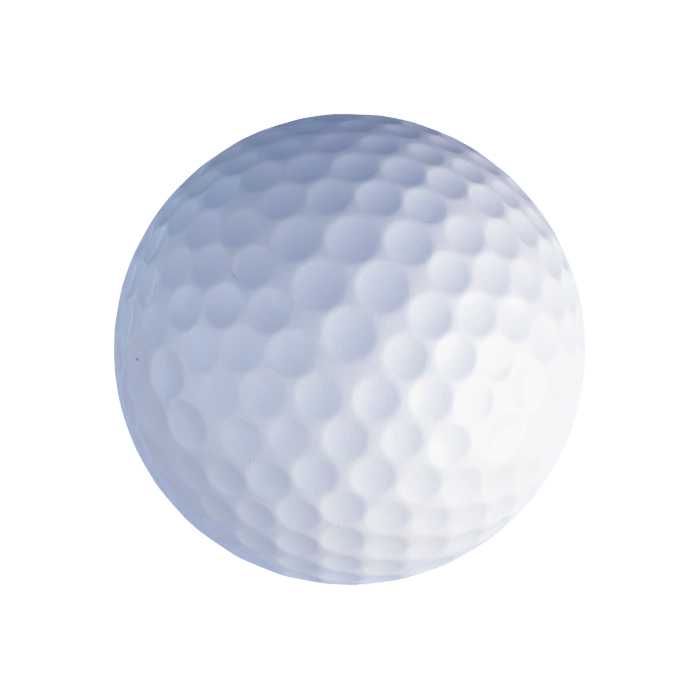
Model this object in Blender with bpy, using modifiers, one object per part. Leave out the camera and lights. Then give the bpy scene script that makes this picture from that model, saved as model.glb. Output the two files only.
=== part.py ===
"""Golf ball: a regulation-size ball with a dual core, a mantle and a dimpled cover.

Frame: origin at the ball's centre, +Z through the dimple at one mould pole, the parting plane at
Z = 0. Units are metres. Every layer round the inner core is a pair of half shells, the way the
real layers are pressed and moulded. Each pair's joint is turned a quarter from the next pair's.
"""
import math

import bmesh
import bpy
from mathutils import Matrix, Vector

# Driving dimensions of the ball and its layers.
BALL_RADIUS = 0.021335       # half of 42.67 mm, the smallest size that the rules of golf allow
COVER_THICKNESS = 0.0010
MANTLE_THICKNESS = 0.0010
INNER_CORE_RADIUS = 0.0127   # 25.4 mm inner core
FIT_GAP = 0.0003             # kept between any two pieces that touch

# Dimple sizes: half the angle that a dimple spans at the ball's centre, in degrees.
REGULAR = 4.75
BIG = 5.5
WIDE = 5.2
SMALL = 4.3
SEAM = 4.2
DIMPLE_DEPTH_RATIO = 0.135   # depth below the ball's surface, over the radius of the dimple's rim

# Dimple layout of one half, in degrees. Five spokes of dimples run from the pole, rows of dimples
# join each spoke to the next, and an even ring closes the half beside the parting plane.
SPOKES = 5
SPOKE_PITCH = 9.9
SPOKE_LENGTH = 7             # dimples on a spoke
SECTOR = 360 / SPOKES
SEAM_RING_COUNT = 35
SEAM_RING_POLAR = 85.25
# Each row's dimples between two spokes: angle off the sector's middle, angle from the pole, size.
BETWEEN_SPOKES = {
    2: ((0.0, 16.5, REGULAR),),
    3: ((13.5, 25.5, REGULAR),),
    4: ((0.0, 37.5, BIG), (20.0, 35.0, REGULAR)),
    5: ((8.5, 47.5, BIG), (23.5, 44.5, REGULAR)),
    6: ((0.0, 57.0, BIG), (13.5, 58.0, WIDE), (25.0, 54.5, REGULAR)),
    7: ((5.5, 67.5, REGULAR), (16.0, 68.0, REGULAR), (26.5, 64.5, REGULAR)),
    8: ((0.0, 76.0, REGULAR), (10.5, 76.5, REGULAR), (20.5, 77.0, REGULAR), (30.5, 77.5, REGULAR)),
}
FIRST_SECTOR = -90.0         # azimuth of the middle of the first sector

# Mesh fineness.
DIMPLE_SIDES = 8
COVER_SEGMENTS = 70
LAYER_SEGMENTS = 28
DOME_STEPS = 7               # steps from the pole to the parting plane

COVER_INNER_RADIUS = BALL_RADIUS - COVER_THICKNESS
MANTLE_RADIUS = COVER_INNER_RADIUS - FIT_GAP
MANTLE_INNER_RADIUS = MANTLE_RADIUS - MANTLE_THICKNESS
OUTER_CORE_RADIUS = MANTLE_INNER_RADIUS - FIT_GAP
OUTER_CORE_INNER_RADIUS = INNER_CORE_RADIUS + FIT_GAP
SEAM_HEIGHT = FIT_GAP / 2    # each half shell stops this far from the plane it meets its pair on
QUARTER_TURN = math.pi / 2


def clear_scene():
    """Remove every object that the scene starts with."""
    for old in list(bpy.data.objects):
        bpy.data.objects.remove(old, do_unlink=True)


def make_material(name, colour, roughness, metallic=0.0):
    """A Principled material with one colour."""
    material = bpy.data.materials.new(name)
    material.use_nodes = True
    shader = material.node_tree.nodes["Principled BSDF"]
    shader.inputs["Base Color"].default_value = (*colour, 1.0)
    shader.inputs["Roughness"].default_value = roughness
    shader.inputs["Metallic"].default_value = metallic
    return material


def direction(polar, azimuth):
    """Unit vector at an angle from +Z and an azimuth, both in degrees."""
    polar, azimuth = math.radians(polar), math.radians(azimuth)
    return Vector((math.sin(polar) * math.cos(azimuth), math.sin(polar) * math.sin(azimuth), math.cos(polar)))


def dimple_layout():
    """Centre direction and size of every dimple on the upper half."""
    dimples = [(direction(0, 0), REGULAR)]
    for sector in range(SPOKES):
        middle = FIRST_SECTOR + sector * SECTOR
        for step in range(1, SPOKE_LENGTH + 1):
            size = SMALL if step == 2 else REGULAR
            dimples.append((direction(step * SPOKE_PITCH, middle + SECTOR / 2), size))
        for row in BETWEEN_SPOKES.values():
            for offset, polar, size in row:
                for side in ((-1, 1) if offset else (1,)):
                    dimples.append((direction(polar, middle + side * offset), size))
    pitch = 360 / SEAM_RING_COUNT
    for index in range(SEAM_RING_COUNT):
        dimples.append((direction(SEAM_RING_POLAR, FIRST_SECTOR + (index + 0.5) * pitch), SEAM))
    return dimples


def rim_points(centre, size):
    """Directions of the points round one dimple's rim."""
    side = centre.orthogonal().normalized()
    other = centre.cross(side)
    spread = math.radians(size)
    points = []
    for index in range(DIMPLE_SIDES):
        turn = 2 * math.pi * index / DIMPLE_SIDES
        across = side * math.cos(turn) + other * math.sin(turn)
        points.append(centre * math.cos(spread) + across * math.sin(spread))
    return points


def dimpled_dome(bm):
    """The upper half of the ball's outer surface, open at the parting plane."""
    floors = {}
    for centre, size in dimple_layout():
        floor = bm.verts.new(centre * BALL_RADIUS)
        floors[floor] = DIMPLE_DEPTH_RATIO * BALL_RADIUS * math.sin(math.radians(size))
        for point in rim_points(centre, size):
            bm.verts.new(point * BALL_RADIUS)
    seam_radius = math.sqrt(BALL_RADIUS ** 2 - SEAM_HEIGHT ** 2)
    for index in range(COVER_SEGMENTS):
        turn = 2 * math.pi * index / COVER_SEGMENTS
        bm.verts.new((seam_radius * math.cos(turn), seam_radius * math.sin(turn), SEAM_HEIGHT))
    bmesh.ops.convex_hull(bm, input=list(bm.verts))
    top_of_seam = SEAM_HEIGHT * 1.01
    flat = [face for face in bm.faces if all(vert.co.z < top_of_seam for vert in face.verts)]
    bmesh.ops.delete(bm, geom=flat, context="FACES")
    for floor, depth in floors.items():
        floor.co -= floor.co.normalized() * depth


def arc(radius, steps):
    """Points in the XZ plane from the top down to the half shell's edge."""
    last = math.acos(SEAM_HEIGHT / radius)
    return [(radius * math.sin(last * i / steps), 0, radius * math.cos(last * i / steps)) for i in range(steps + 1)]


def cover_half(name, material, collection, upper):
    """One half of the cover: dimples outside, a plain dome inside, a flat face on the parting plane."""
    bm = bmesh.new()
    dimpled_dome(bm)
    rim = [edge for edge in bm.edges if edge.is_boundary]
    flat = bmesh.ops.extrude_edge_only(bm, edges=rim)["geom"]
    inner_arc = arc(COVER_INNER_RADIUS, DOME_STEPS)
    for vert in flat:
        if isinstance(vert, bmesh.types.BMVert):
            vert.co.xy *= inner_arc[-1][0] / vert.co.xy.length
    points = [bm.verts.new(point) for point in inner_arc]
    chain = [bm.edges.new(pair) for pair in zip(points, points[1:])]
    bmesh.ops.spin(bm, geom=points + chain, cent=(0, 0, 0), axis=(0, 0, 1),
                   angle=2 * math.pi, steps=COVER_SEGMENTS, use_duplicate=False)
    bmesh.ops.remove_doubles(bm, verts=list(bm.verts), dist=1e-6)
    if not upper:
        bm.transform(Matrix.Rotation(math.pi, 4, "X"))
    bmesh.ops.recalc_face_normals(bm, faces=list(bm.faces))
    for face in bm.faces:
        face.smooth = True
    return add_object(name, bm, material, collection)


def add_object(name, bm, material, collection):
    """Turn a bmesh into an object of the ball."""
    mesh = bpy.data.meshes.new(name)
    bm.to_mesh(mesh)
    bm.free()
    mesh.materials.append(material)
    piece = bpy.data.objects.new(name, mesh)
    collection.objects.link(piece)
    return piece


def layer_half(name, outer, inner, rotation, material, collection):
    """A plain half shell, turned from its section and then swung round to the side it covers."""
    bm = bmesh.new()
    section = arc(outer, DOME_STEPS) + arc(inner, DOME_STEPS)[::-1]
    verts = [bm.verts.new(point) for point in section]
    for pair in zip(verts, verts[1:]):
        bm.edges.new(pair)
    piece = add_object(name, bm, material, collection)
    turn = piece.modifiers.new("turn", "SCREW")
    turn.axis = "Z"
    turn.angle = 2 * math.pi
    turn.steps = LAYER_SEGMENTS
    turn.render_steps = LAYER_SEGMENTS
    turn.use_merge_vertices = True
    turn.merge_threshold = 1e-5
    turn.use_smooth_shade = True
    piece.rotation_euler = rotation
    return piece


def ball_core(name, radius, material, collection):
    """The solid ball in the middle."""
    bm = bmesh.new()
    bmesh.ops.create_uvsphere(bm, u_segments=LAYER_SEGMENTS, v_segments=2 * DOME_STEPS, radius=radius)
    for face in bm.faces:
        face.smooth = True
    return add_object(name, bm, material, collection)


def main():
    clear_scene()
    ball = bpy.data.collections.new("golf_ball")
    bpy.context.scene.collection.children.link(ball)

    for half in ("upper", "lower"):
        urethane = make_material(f"cover_{half}_urethane", (0.86, 0.87, 0.88), 0.22)
        cover_half(f"cover_{half}", urethane, ball, upper=half == "upper")
    for name, tilt in (("mantle_right", QUARTER_TURN), ("mantle_left", -QUARTER_TURN)):
        ionomer = make_material(f"{name}_ionomer", (0.74, 0.78, 0.80), 0.35)
        layer_half(name, MANTLE_RADIUS, MANTLE_INNER_RADIUS, (0, tilt, 0), ionomer, ball)
    for name, tilt in (("outer_core_front", QUARTER_TURN), ("outer_core_back", -QUARTER_TURN)):
        rubber = make_material(f"{name}_rubber", (0.72, 0.22, 0.08), 0.6)
        layer_half(name, OUTER_CORE_RADIUS, OUTER_CORE_INNER_RADIUS, (tilt, 0, 0), rubber, ball)
    rubber = make_material("inner_core_rubber", (0.07, 0.25, 0.42), 0.6)
    ball_core("inner_core", INNER_CORE_RADIUS, rubber, ball)


main()
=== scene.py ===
"""Looks of the golf ball: a finely dimpled cover, its materials, soft studio light and the camera."""
import math

import bpy
from mathutils import Matrix, Quaternion, Vector
from mathutils.geometry import delaunay_2d_cdt


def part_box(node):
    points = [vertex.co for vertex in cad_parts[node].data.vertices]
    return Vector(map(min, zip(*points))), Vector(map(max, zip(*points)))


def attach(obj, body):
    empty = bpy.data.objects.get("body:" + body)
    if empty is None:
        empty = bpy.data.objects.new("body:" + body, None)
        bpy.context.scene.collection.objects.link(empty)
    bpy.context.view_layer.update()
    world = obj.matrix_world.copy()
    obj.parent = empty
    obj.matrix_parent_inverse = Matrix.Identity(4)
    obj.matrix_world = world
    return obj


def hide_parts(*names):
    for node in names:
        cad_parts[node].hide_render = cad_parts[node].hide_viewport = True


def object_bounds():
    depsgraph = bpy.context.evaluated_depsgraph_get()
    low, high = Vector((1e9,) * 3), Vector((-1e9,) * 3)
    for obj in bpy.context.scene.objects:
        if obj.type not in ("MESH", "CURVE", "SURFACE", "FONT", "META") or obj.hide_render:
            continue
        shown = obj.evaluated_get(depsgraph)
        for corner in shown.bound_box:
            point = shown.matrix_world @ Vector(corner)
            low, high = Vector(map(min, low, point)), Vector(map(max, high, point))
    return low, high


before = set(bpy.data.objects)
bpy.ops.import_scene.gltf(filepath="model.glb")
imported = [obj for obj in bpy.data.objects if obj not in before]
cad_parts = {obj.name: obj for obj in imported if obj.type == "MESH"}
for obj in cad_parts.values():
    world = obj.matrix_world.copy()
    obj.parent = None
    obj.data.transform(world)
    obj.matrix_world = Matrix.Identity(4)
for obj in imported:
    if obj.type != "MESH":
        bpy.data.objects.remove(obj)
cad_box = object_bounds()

# Sizes in metres. The ball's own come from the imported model.
BALL_RADIUS = (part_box("cover_upper")[1].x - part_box("cover_upper")[0].x) / 2
MANTLE_RADIUS = (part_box("mantle_left")[1].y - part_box("mantle_left")[0].y) / 2
FIT_GAP = 0.0003                # between the cover and the mantle
COVER_INNER_RADIUS = MANTLE_RADIUS + FIT_GAP
SEAM_HEIGHT = FIT_GAP / 2       # on the inside, each half of the cover stops this far from the parting plane
MILLIMETRE = 0.001

# Dimple sizes: half the angle that a dimple spans at the ball's centre, in degrees.
REGULAR = 4.75
BIG = 5.5
WIDE = 5.2
SMALL = 4.3
SEAM = 4.2
DEPTH_RATIO = 0.143             # depth below the ball's surface, over the radius of the dimple's rim
RIM_SOFTNESS = 1.4              # degrees over which a dimple's wall rolls over into the land

# Dimple layout of one half, in degrees, the same as the CAD cover's.
SPOKES = 5
SPOKE_PITCH = 9.9
SPOKE_LENGTH = 7                # dimples on a spoke
SECTOR = 360 / SPOKES
SEAM_RING_COUNT = 35
SEAM_RING_POLAR = 85.25
# Each row's dimples between two spokes: angle off the sector's middle, angle from the pole, size.
BETWEEN_SPOKES = {
    2: ((0.0, 16.5, REGULAR),),
    3: ((13.5, 25.5, REGULAR),),
    4: ((0.0, 37.5, BIG), (20.0, 35.0, REGULAR)),
    5: ((8.5, 47.5, BIG), (23.5, 44.5, REGULAR)),
    6: ((0.0, 57.0, BIG), (13.5, 58.0, WIDE), (25.0, 54.5, REGULAR)),
    7: ((5.5, 67.5, REGULAR), (16.0, 68.0, REGULAR), (26.5, 64.5, REGULAR)),
    8: ((0.0, 76.0, REGULAR), (10.5, 76.5, REGULAR), (20.5, 77.0, REGULAR), (30.5, 77.5, REGULAR)),
}
FIRST_SECTOR = -90.0            # azimuth of the middle of the first sector

# Mesh fineness.
RIM_SIDES = 32                  # points round a dimple
RING_SHARES = (0.75, 0.5, 0.25)  # rings inside a dimple, as shares of the radius where its roll begins
ROLL_STEPS = 3                  # rings from the rim in to where the roll begins, and out to where it ends
LAND_SIDES = 24                 # points round a dimple on the land
LAND_CLEARANCE = 0.28           # degrees kept between such a point and any rim
SEAM_SEGMENTS = 360
INNER_STEPS = 24
INNER_SEGMENTS = 90

# Cover material. A size is that of the lumps, in metres.
# Painted shade: the dimples' floors take a darker, bluer white than the lit land between them.
DIMPLE_SHADE_WHITE = (0.755, 0.78, 0.85, 1)
LAND_LIT_WHITE = (0.768, 0.781, 0.832, 1)
COLOUR_DRIFT = ((0.0012, 0.07), (0.0004, 0.08), (0.00015, 0.06))    # size, and how much the colour drifts
PEEL_SIZE = 0.0002
PEEL_DEPTH = 0.00002
WEAR_SIZE = 0.002

# Marks on the lacquer: angle from the pole, azimuth, turn (all in degrees), length and width in millimetres,
# the colour of the mark and how well it covers. They are a dark dot, a scratch with a faint warm smudge
# beside it, three specks, and a pale spot that is a painted highlight, a small glint in a dimple.
MARKS_AND_GLINT = (
    (58.9, -18.8, 0, 0.3, 0.3, (0.08, 0.11, 0.17), 0.95),
    (54.4, -59.6, 112, 1.3, 0.1, (0.25, 0.27, 0.36), 0.4),
    (56.8, -60.6, 60, 1.3, 0.7, (0.92, 0.87, 0.84), 0.3),
    (21.5, -24.3, 0, 0.17, 0.17, (0.30, 0.30, 0.34), 0.5),
    (21.0, -27.0, 0, 0.14, 0.14, (0.35, 0.34, 0.42), 0.4),
    (5.3, 81.4, 90, 0.22, 0.13, (0.35, 0.38, 0.40), 0.6),
    # Painted highlight: this pale spot stands for a small glint inside a dimple.
    (57.6, -105.8, 0, 0.32, 0.26, (0.95, 0.97, 1.0), 0.45),
)
MARK_FADE = (1.3, 0.5)          # where a mark is gone and where it is whole, as shares of its half-size

# Materials of the layers inside.
CLOUD_SIZE = 0.005
CLOUD_SWIRL = 1.5
CLOUD_COLOURS = ((0.69, 0.74, 0.77, 1), (0.78, 0.81, 0.83, 1))
IONOMER_SKIN = 0.0004
RUBBER_BODY = 0.003
RUBBER_SKIN = 0.00015
OUTER_CORE = {"dark": (0.62, 0.15, 0.05), "light": (0.78, 0.27, 0.10), "speck": (0.85, 0.55, 0.38),
              "speck_size": 0.0012}
INNER_CORE = {"dark": (0.05, 0.19, 0.35), "light": (0.10, 0.31, 0.48), "speck": (0.30, 0.48, 0.60),
              "speck_size": 0.0009}
NOISE_SPAN = (0.3, 0.7)         # nearly all of a noise's values lie between these

# Camera, in ball radii and degrees. It looks at the ball from above, close, with the view turned round.
CAMERA_DISTANCE = 4.5
CAMERA_AZIMUTH = -0.4
CAMERA_ELEVATION = 55.4
CAMERA_ROLL = 177.7
CAMERA_LENS = 53.25             # millimetres, on the sensor width below
CAMERA_SENSOR = 36.0
CAMERA_SHIFT = (0.0007, -0.001)  # share of the image width, which centres the ball as in the photo
CAMERA_CLIP = (0.005, 10)       # metres

# Light. Distances are in metres, and radiance 1 is white paper in the picture.
LAMP_DISTANCE = 0.5
SURROUND = (0.14, 0.172, 0.27, 1)
BACKDROP_GLOW = 1.8
STAGE_RADIUS = 1.5

# The picture's response to radiance.
SHOULDER_START = 0.6            # where the highlights begin to roll off
SHOULDER_END = 1.43             # where they are as bright as the ball gets
SHOULDER_STEPS = 8
BALL_WHITE = 0.947              # the brightest that the ball gets
BALL_END = SHOULDER_END + 0.05
BACKDROP_START = BACKDROP_GLOW - 0.15
BACKDROP_WHITE = 1.02           # a little over full white, so that no pixel of the backdrop rounds down
RESPONSE_END = 2.0


def direction(polar, azimuth):
    """Unit vector at an angle from +Z and an azimuth, both in degrees."""
    polar, azimuth = math.radians(polar), math.radians(azimuth)
    return Vector((math.sin(polar) * math.cos(azimuth), math.sin(polar) * math.sin(azimuth), math.cos(polar)))


def turn(index, count):
    """Angle in radians of one of count even steps round a circle."""
    return 2 * math.pi * index / count


def pairs(loop):
    """Each item of a closed loop with the next one."""
    return list(zip(loop, loop[1:] + loop[:1]))


def dimple_layout():
    """Centre direction and half-angle in radians of every dimple on the upper half."""
    dimples = [(direction(0, 0), REGULAR)]
    for sector in range(SPOKES):
        middle = FIRST_SECTOR + sector * SECTOR
        for step in range(1, SPOKE_LENGTH + 1):
            size = SMALL if step == 2 else REGULAR
            dimples.append((direction(step * SPOKE_PITCH, middle + SECTOR / 2), size))
        for row in BETWEEN_SPOKES.values():
            for offset, polar, size in row:
                for side in ((-1, 1) if offset else (1,)):
                    dimples.append((direction(polar, middle + side * offset), size))
    pitch = 360 / SEAM_RING_COUNT
    for index in range(SEAM_RING_COUNT):
        dimples.append((direction(SEAM_RING_POLAR, FIRST_SECTOR + (index + 0.5) * pitch), SEAM))
    return [(centre, math.radians(size)) for centre, size in dimples]


class Dimple:
    """A round dish in the ball: its wall steepens evenly out from the middle and rolls over at the rim."""

    def __init__(self, centre, spread):
        self.centre = centre
        self.rim = spread
        self.side = centre.orthogonal().normalized()
        self.other = centre.cross(self.side)
        self.lo = spread - math.radians(RIM_SOFTNESS) / 2
        self.hi = spread + math.radians(RIM_SOFTNESS) / 2
        # The wall's slope for each radian out from the centre.
        self.bend = 2 * DEPTH_RATIO * spread / (self.lo * self.hi)

    def point(self, angle, around):
        """Direction of a point at an angle from the dimple's centre."""
        across = self.side * math.cos(around) + self.other * math.sin(around)
        return self.centre * math.cos(angle) + across * math.sin(angle)

    def dip(self, angle):
        """Depth over the ball's radius, and slope, at an angle from the centre."""
        if angle >= self.hi:
            return 0.0, 0.0
        roll = self.hi - self.lo
        steepest = self.bend * self.lo
        if angle >= self.lo:
            left = self.hi - angle
            return steepest * left * left / (2 * roll), steepest * left / roll
        return self.bend * (self.lo ** 2 - angle ** 2) / 2 + steepest * roll / 2, self.bend * angle


def surface_point(unit, dimples):
    """Place and normal of the ball's surface in a direction, given the dimples that may reach it."""
    depth, normal = 0.0, unit.copy()
    for dimple in dimples:
        dip, slope = dimple.dip(unit.angle(dimple.centre, 0.0))
        depth += dip
        inward = dimple.centre - unit * unit.dot(dimple.centre)
        if slope and inward.length > 1e-9:
            normal += inward.normalized() * slope
    return unit * (BALL_RADIUS * (1 - depth)), normal.normalized()


def flat(unit):
    """Stereographic place of a direction of the upper half. Circles on the ball stay circles."""
    return Vector((unit.x / (1 + unit.z), unit.y / (1 + unit.z)))


class HalfCover:
    """The upper half of the cover under construction, as one closed shell."""

    def __init__(self):
        self.dimples = [Dimple(centre, spread) for centre, spread in dimple_layout()]
        self.near = {dimple: self.neighbours(dimple) for dimple in self.dimples}
        self.places, self.normals, self.faces = [], [], []

    def neighbours(self, dimple):
        """The dimples whose soft rims reach this one's, with itself."""
        return [other for other in self.dimples
                if dimple.centre.angle(other.centre, 0.0) < dimple.hi + other.hi]

    def add(self, place, normal):
        """Add a vertex and return its number."""
        self.places.append(place)
        self.normals.append(normal)
        return len(self.places) - 1

    def circle(self, dimple, angle):
        """Directions of the points round a dimple, at an angle from its centre."""
        return [dimple.point(angle, turn(i, RIM_SIDES)) for i in range(RIM_SIDES)]

    def land_points(self, dimple):
        """Directions of the points on the land round a dimple, clear of every rim."""
        clearance = math.radians(LAND_CLEARANCE)
        others = [other for other in self.near[dimple] if other is not dimple]
        for step in range(1, ROLL_STEPS + 1):
            angle = dimple.rim + (dimple.hi - dimple.rim) * step / ROLL_STEPS
            for i in range(LAND_SIDES):
                unit = dimple.point(angle, turn(i + 0.5 * (step % 2), LAND_SIDES))
                clear = all(unit.angle(other.centre) > other.rim + clearance for other in others)
                if clear and unit.z > clearance:
                    yield unit

    def add_land(self):
        """Triangulate the land between the dimples' rims. Returns the rims and the half's outer edge."""
        flats, edges, rims = [], [], []

        def add(unit, dimples):
            flats.append(flat(unit))
            return self.add(*surface_point(unit, dimples))

        for dimple in self.dimples:
            rims.append([add(unit, self.near[dimple]) for unit in self.circle(dimple, dimple.rim)])
            edges += pairs(rims[-1])
        in_rims = len(flats)
        for dimple in self.dimples:
            for unit in self.land_points(dimple):
                add(unit, self.near[dimple])
        seam = [add(direction(90, 360 * i / SEAM_SEGMENTS), self.dimples) for i in range(SEAM_SEGMENTS)]
        edges += pairs(seam)

        made = delaunay_2d_cdt(flats, edges, [], 1, 1e-9)
        if len(made[0]) != len(flats):
            raise RuntimeError("the rims cross")
        source = [ids[0] for ids in made[3]]
        for face in made[2]:
            corners = [source[i] for i in face]
            owners = {corner // RIM_SIDES if corner < in_rims else None for corner in corners}
            inside_a_rim = len(owners) == 1 and None not in owners
            if not inside_a_rim:
                self.faces.append(corners)
        return rims, seam

    def add_dishes(self, rims):
        """Each dimple's dish: rings in from the rim, closed by a fan at the bottom."""
        for dimple, rim in zip(self.dimples, rims):
            near = self.near[dimple]
            inward = dimple.lo - dimple.rim
            angles = [dimple.rim + inward * step / ROLL_STEPS for step in range(1, ROLL_STEPS + 1)]
            angles += [dimple.lo * share for share in RING_SHARES]
            outer = rim
            for angle in angles:
                ring = [self.add(*surface_point(unit, near)) for unit in self.circle(dimple, angle)]
                for (a, b), (c, d) in zip(pairs(outer), pairs(ring)):
                    self.faces.append([a, b, d, c])
                outer = ring
            bottom = self.add(*surface_point(dimple.centre, near))
            for a, b in pairs(outer):
                self.faces.append([a, b, bottom])

    def add_inside(self, seam):
        """A plain dome inside, joined to the outer edge by a face that leaves the parting plane going in."""
        last = math.acos(SEAM_HEIGHT / COVER_INNER_RADIUS)
        rings = []
        for step in range(1, INNER_STEPS + 1):
            count = SEAM_SEGMENTS if step == INNER_STEPS else INNER_SEGMENTS
            polar = math.degrees(last * step / INNER_STEPS)
            units = [direction(polar, 360 * i / count) for i in range(count)]
            rings.append([self.add(unit * COVER_INNER_RADIUS, -unit) for unit in units])
        top = self.add(Vector((0, 0, COVER_INNER_RADIUS)), Vector((0, 0, -1)))
        for a, b in pairs(rings[0]):
            self.faces.append([top, b, a])
        for upper, lower in zip(rings, rings[1:]):
            ratio = len(lower) // len(upper)
            for i, (a, b) in enumerate(pairs(upper)):
                share = [lower[(i * ratio + k) % len(lower)] for k in range(ratio + 1)]
                self.faces.append([a, b] + share[::-1])
        for (a, b), (c, d) in zip(pairs(seam), pairs(rings[-1])):
            self.faces.append([a, c, d, b])


def cover_half(name, upper):
    """One half of the cover as an object. The lower half is the upper one turned over."""
    half = HalfCover()
    rims, seam = half.add_land()
    half.add_dishes(rims)
    half.add_inside(seam)
    mesh = bpy.data.meshes.new(name)
    mesh.from_pydata([tuple(place) for place in half.places], [], half.faces)
    mesh.validate()
    piece = bpy.data.objects.new(name, mesh)
    bpy.context.scene.collection.objects.link(piece)
    mesh.polygons.foreach_set("use_smooth", [True] * len(mesh.polygons))
    mesh.normals_split_custom_set_from_vertices([tuple(normal) for normal in half.normals])
    if not upper:
        mesh.transform(Matrix.Rotation(math.pi, 4, "X"))
    mesh.update()
    return piece


class Surface:
    """A procedural material under construction. Its nodes read the ball's own coordinates, in metres."""

    def __init__(self, name):
        self.material = bpy.data.materials.new(name)
        self.material.use_nodes = True
        self.tree = self.material.node_tree
        self.shader = self.tree.nodes["Principled BSDF"]
        self.place = self.node("TexCoord").outputs["Object"]

    def node(self, kind, *values, **settings):
        """Add a node. values fill its inputs in order, each a number, a colour or another node's output."""
        made = self.tree.nodes.new("ShaderNode" + kind)
        for setting, value in settings.items():
            setattr(made, setting, value)
        for socket, value in zip(made.inputs, values):
            self.fill(socket, value)
        return made

    def fill(self, socket, value):
        """Link or set one input."""
        if isinstance(value, bpy.types.NodeSocket):
            self.tree.links.new(value, socket)
        else:
            socket.default_value = value

    def set(self, **values):
        """Fill inputs of the Principled shader. An underscore stands for the space in an input's name."""
        for name, value in values.items():
            self.fill(self.shader.inputs[name.replace("_", " ")], value)

    def noise(self, size, detail=2.0):
        """Noise whose lumps are about that size, in metres."""
        made = self.node("TexNoise")
        self.fill(made.inputs["Vector"], self.place)
        made.inputs["Scale"].default_value = 1 / size
        made.inputs["Detail"].default_value = detail
        return made

    def length(self, vector):
        """Length of a vector."""
        return self.node("VectorMath", vector, operation="LENGTH").outputs["Value"]

    def remap(self, value, low, high, to_low=0.0, to_high=1.0):
        """value from one range to another, eased at both ends."""
        made = self.node("MapRange", value, low, high, to_low, to_high, interpolation_type="SMOOTHSTEP")
        return made.outputs[0]

    def mix(self, share, first, second):
        """first where share is 0, second where it is 1."""
        made = self.node("Mix", data_type="RGBA")
        for index, value in ((0, share), (6, first), (7, second)):
            self.fill(made.inputs[index], value)
        return made.outputs[2]

    def tint(self, colour, size, strength):
        """colour, with each channel drifting a little by noise of that size."""
        noise = self.noise(size).outputs["Color"]
        gain, least = (strength,) * 3, (1 - strength / 2,) * 3
        drift = self.node("VectorMath", noise, gain, least, operation="MULTIPLY_ADD").outputs[0]
        return self.node("VectorMath", colour, drift, operation="MULTIPLY").outputs[0]

    def bump(self, height, depth, under=None):
        """Normals of a relief of that depth in metres, over those of another relief."""
        made = self.node("Bump")
        self.fill(made.inputs["Height"], height)
        made.inputs["Distance"].default_value = depth
        if under is not None:
            self.fill(made.inputs["Normal"], under)
        return made.outputs[0]


def add_marks_and_glint(surface, colour):
    """colour with the marks and one painted highlight over it, each a soft-edged ellipsoid round its place on
    the ball.
    """
    for polar, azimuth, spin, length, width, shade, cover in MARKS_AND_GLINT:
        out = direction(polar, azimuth)
        facing = out.to_track_quat("Z", "Y") @ Quaternion((0, 0, 1), math.radians(spin))
        half_size = (length * MILLIMETRE / 2, width * MILLIMETRE / 2, MILLIMETRE)
        near = surface.node("Mapping", surface.place, out * BALL_RADIUS, facing.to_euler(), half_size,
                            vector_type="TEXTURE").outputs[0]
        colour = surface.mix(surface.remap(surface.length(near), *MARK_FADE, 0.0, cover), colour, (*shade, 1))
    return colour


def urethane(name):
    """White urethane under clear lacquer."""
    surface = Surface(name)
    # Painted shade: the dimples' floors are painted a little darker and cooler than the land between them,
    # which gets the lit, warmer white. This stands in for the shade in the hollows and the blue light
    # reflected there.
    floor = BALL_RADIUS * (1 - DEPTH_RATIO * math.sin(math.radians(REGULAR)))
    land = surface.remap(surface.length(surface.place), floor, BALL_RADIUS)
    colour = surface.mix(land, DIMPLE_SHADE_WHITE, LAND_LIT_WHITE)
    for size, strength in COLOUR_DRIFT:
        colour = surface.tint(colour, size, strength)
    # The marks, and a pale spot that is a painted highlight.
    colour = add_marks_and_glint(surface, colour)
    # Sprayed lacquer: a fine orange peel, and gloss that varies with wear.
    peel = surface.bump(surface.noise(PEEL_SIZE).outputs[0], PEEL_DEPTH)
    wear = surface.noise(WEAR_SIZE, 4.0).outputs[0]
    surface.set(Base_Color=colour, Roughness=surface.remap(wear, *NOISE_SPAN, 0.42, 0.48), Coat_Weight=0.4,
                Coat_Roughness=surface.remap(wear, *NOISE_SPAN, 0.06, 0.1), Normal=peel)
    return surface.material


def ionomer(name):
    """Milky injection-moulded ionomer, with flow clouds and a satin skin."""
    surface = Surface(name)
    clouds = surface.noise(CLOUD_SIZE, 3.0)
    clouds.inputs["Distortion"].default_value = CLOUD_SWIRL
    colour = surface.mix(surface.remap(clouds.outputs[0], 0.35, 0.65), *CLOUD_COLOURS)
    skin = surface.noise(IONOMER_SKIN, 3.0).outputs[0]
    surface.set(Base_Color=surface.tint(colour, 0.0015, 0.04),
                Roughness=surface.remap(skin, *NOISE_SPAN, 0.28, 0.42),
                Normal=surface.bump(skin, 0.00001))
    return surface.material


def rubber(name, dark, light, speck, speck_size):
    """Pressed rubber with a mixed body, specks of filler and a ground, matte skin."""
    surface = Surface(name)
    body = surface.remap(surface.noise(RUBBER_BODY, 5.0).outputs[0], *NOISE_SPAN)
    colour = surface.mix(body, (*dark, 1), (*light, 1))
    cells = surface.node("TexVoronoi", surface.place)
    cells.inputs["Scale"].default_value = 1 / speck_size
    colour = surface.mix(surface.remap(cells.outputs["Distance"], 0.2, 0.1), colour, (*speck, 1))
    skin = surface.noise(RUBBER_SKIN, 3.0).outputs[0]
    surface.set(Base_Color=surface.tint(colour, 0.0006, 0.06),
                Roughness=surface.remap(skin, *NOISE_SPAN, 0.55, 0.75),
                Normal=surface.bump(skin, 0.00002, surface.bump(body, 0.00003)))
    return surface.material


def camera_axes():
    """The direction from the ball to the camera, and the image's right and up, in the ball's frame."""
    back = direction(90 - CAMERA_ELEVATION, CAMERA_AZIMUTH - 90)
    right = (-back).cross(Vector((0, 0, 1))).normalized()
    up = right.cross(-back)
    roll = math.radians(CAMERA_ROLL)
    rolled_up = up * math.cos(roll) + right * math.sin(roll)
    rolled_right = right * math.cos(roll) - up * math.sin(roll)
    return back, rolled_right, rolled_up


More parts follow.
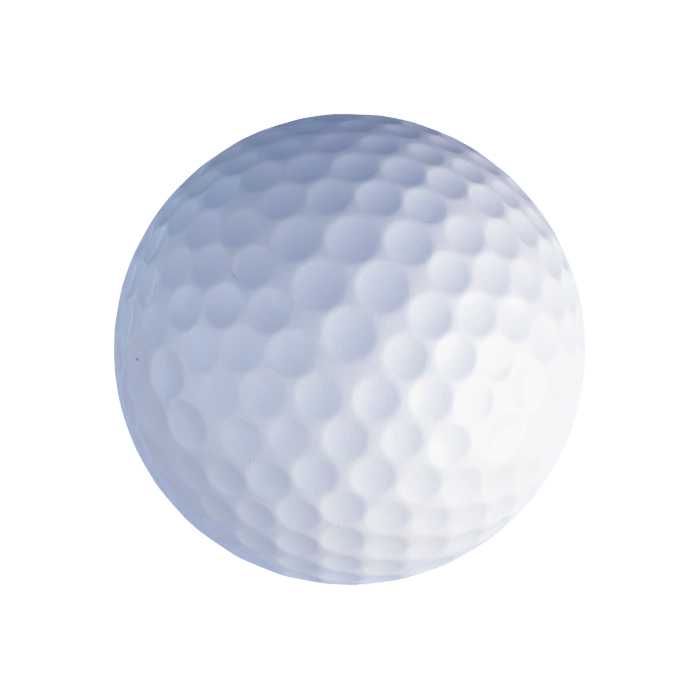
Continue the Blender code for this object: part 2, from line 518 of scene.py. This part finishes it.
def standing(right, up, back, place):
    """Matrix that stands an object at a place, with its X, Y and Z along three directions."""
    matrix = Matrix((right, up, back)).transposed().to_4x4()
    matrix.translation = place
    return matrix


def add_camera():
    """The camera, close to the ball, with the ball's outline filling its share of the image."""
    back, right, up = camera_axes()
    data = bpy.data.cameras.new("camera")
    camera = bpy.data.objects.new("camera", data)
    bpy.context.scene.collection.objects.link(camera)
    data.sensor_width = CAMERA_SENSOR
    data.lens = CAMERA_LENS
    data.shift_x, data.shift_y = CAMERA_SHIFT
    data.clip_start, data.clip_end = CAMERA_CLIP
    camera.matrix_world = standing(right, up, back, back * (CAMERA_DISTANCE * BALL_RADIUS))
    bpy.context.scene.camera = camera


def add_lamp(name, tilt, heading, spread, glow, stretch=1.0):
    """A soft lamp aimed at the ball, placed as the camera sees the ball.

    tilt is its angle from the camera's direction. heading runs round the image from its right,
    counter-clockwise. spread is half the angle that the lamp spans, and glow is its radiance.
    stretch lengthens the round lamp across the heading."""
    back, right, up = camera_axes()
    tilt, heading = math.radians(tilt), math.radians(heading)
    toward = back * math.cos(tilt) + (right * math.cos(heading) + up * math.sin(heading)) * math.sin(tilt)
    along = up * math.cos(heading) - right * math.sin(heading)
    radius = LAMP_DISTANCE * math.tan(math.radians(spread))
    data = bpy.data.lights.new(name, "AREA")
    data.shape = "ELLIPSE"
    data.size, data.size_y = 2 * radius, 2 * radius * stretch
    data.color = [part / max(glow) for part in glow]
    data.energy = max(glow) * (math.pi * radius) ** 2 * stretch
    lamp = bpy.data.objects.new(name, data)
    bpy.context.scene.collection.objects.link(lamp)
    lamp.matrix_world = standing(along.cross(toward), along, toward, toward * LAMP_DISTANCE)
    lamp.visible_camera = False


def add_lamps():
    """The photo's light: a warm, bright key at the right, with its halo, and cool, dim light all round."""
    add_lamp("key", 72, -18, 22.5, (7.6, 5.8, 3.9))
    add_lamp("key_halo", 60, -18, 40, (0.64, 1.08, 1.34))
    add_lamp("side_fill", 60, 195, 32, (1.26, 1.1, 1.08))
    add_lamp("side_sky", 75, 180, 20, (0.05, 0.5, 0.7))
    add_lamp("left_sky", 110, 150, 25, (0.0, 0.18, 0.32))
    add_lamp("upper_sky", 60, 60, 30, (0.0, 0.02, 0.24))
    add_lamp("back_fill", 136, -10, 25, (0.46, 0.62, 0.72))
    add_lamp("back_rim", 168, -103, 41, (0.21, 0.33, 0.6))
    add_lamp("left_strip", 125, 163, 3, (0.95, 1.0, 1.05), stretch=5)
    world = bpy.data.worlds.new("studio")
    bpy.context.scene.world = world
    world.use_nodes = True
    background = world.node_tree.nodes["Background"]
    background.inputs["Color"].default_value = SURROUND
    background.inputs["Strength"].default_value = 1.0


def film_response(view):
    """A soft shoulder, so that the brightest parts of the ball stay just under the white of the backdrop."""
    view.view_transform = "Standard"
    view.use_curve_mapping = True
    mapping = view.curve_mapping
    mapping.clip_max_x = mapping.clip_max_y = RESPONSE_END
    span, room = SHOULDER_END - SHOULDER_START, BALL_WHITE - SHOULDER_START
    points = [(0.0, 0.0), (SHOULDER_START / 2, SHOULDER_START / 2)]
    for step in range(SHOULDER_STEPS + 1):
        left = 1 - step / SHOULDER_STEPS
        points.append((SHOULDER_END - span * left, BALL_WHITE - room * left ** (span / room)))
    points += [(BALL_END, BALL_WHITE), (BACKDROP_START, BACKDROP_WHITE), (RESPONSE_END, BACKDROP_WHITE)]
    combined = mapping.curves[3]       # after those of red, green and blue
    for knot, place in zip(list(combined.points), (points[0], points[-1])):
        knot.location = place
    for place in points[1:-1]:
        combined.points.new(*place)
    for knot in combined.points:
        knot.handle_type = "VECTOR"
    mapping.update()


def add_stage():
    """A plain white floor under the ball and a white backdrop round it, seen only by the camera."""
    bpy.ops.mesh.primitive_uv_sphere_add(segments=48, ring_count=24, radius=STAGE_RADIUS)
    backdrop = bpy.context.object
    backdrop.name = "backdrop"
    bpy.ops.mesh.primitive_circle_add(vertices=64, radius=STAGE_RADIUS, fill_type="NGON",
                                      location=(0, 0, cad_box[0].z))
    floor = bpy.context.object
    floor.name = "floor"
    white = Surface("studio_white")
    glow = white.node("Emission", (1, 1, 1, 1), BACKDROP_GLOW).outputs[0]
    white.fill(white.tree.nodes["Material Output"].inputs["Surface"], glow)
    for obj in (backdrop, floor):
        obj.data.materials.append(white.material)
        obj.visible_diffuse = obj.visible_glossy = obj.visible_transmission = obj.visible_shadow = False


for half_name, is_upper in (("cover_upper", True), ("cover_lower", False)):
    moulding = cover_half(half_name + "_moulding", is_upper)
    moulding.data.materials.append(urethane(half_name + "_urethane"))
    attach(moulding, "root")
    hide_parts(half_name)

# The layers inside keep their CAD shapes and get finer materials.
inner_materials = {
    "mantle_right": ionomer("mantle_right_ionomer"),
    "mantle_left": ionomer("mantle_left_ionomer"),
    "outer_core_front": rubber("outer_core_front_rubber", **OUTER_CORE),
    "outer_core_back": rubber("outer_core_back_rubber", **OUTER_CORE),
    "inner_core": rubber("inner_core_rubber_mixed", **INNER_CORE),
}
for layer, material in inner_materials.items():
    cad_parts[layer].material_slots[0].material = material

add_camera()
add_lamps()
film_response(bpy.context.scene.view_settings)
add_stage()
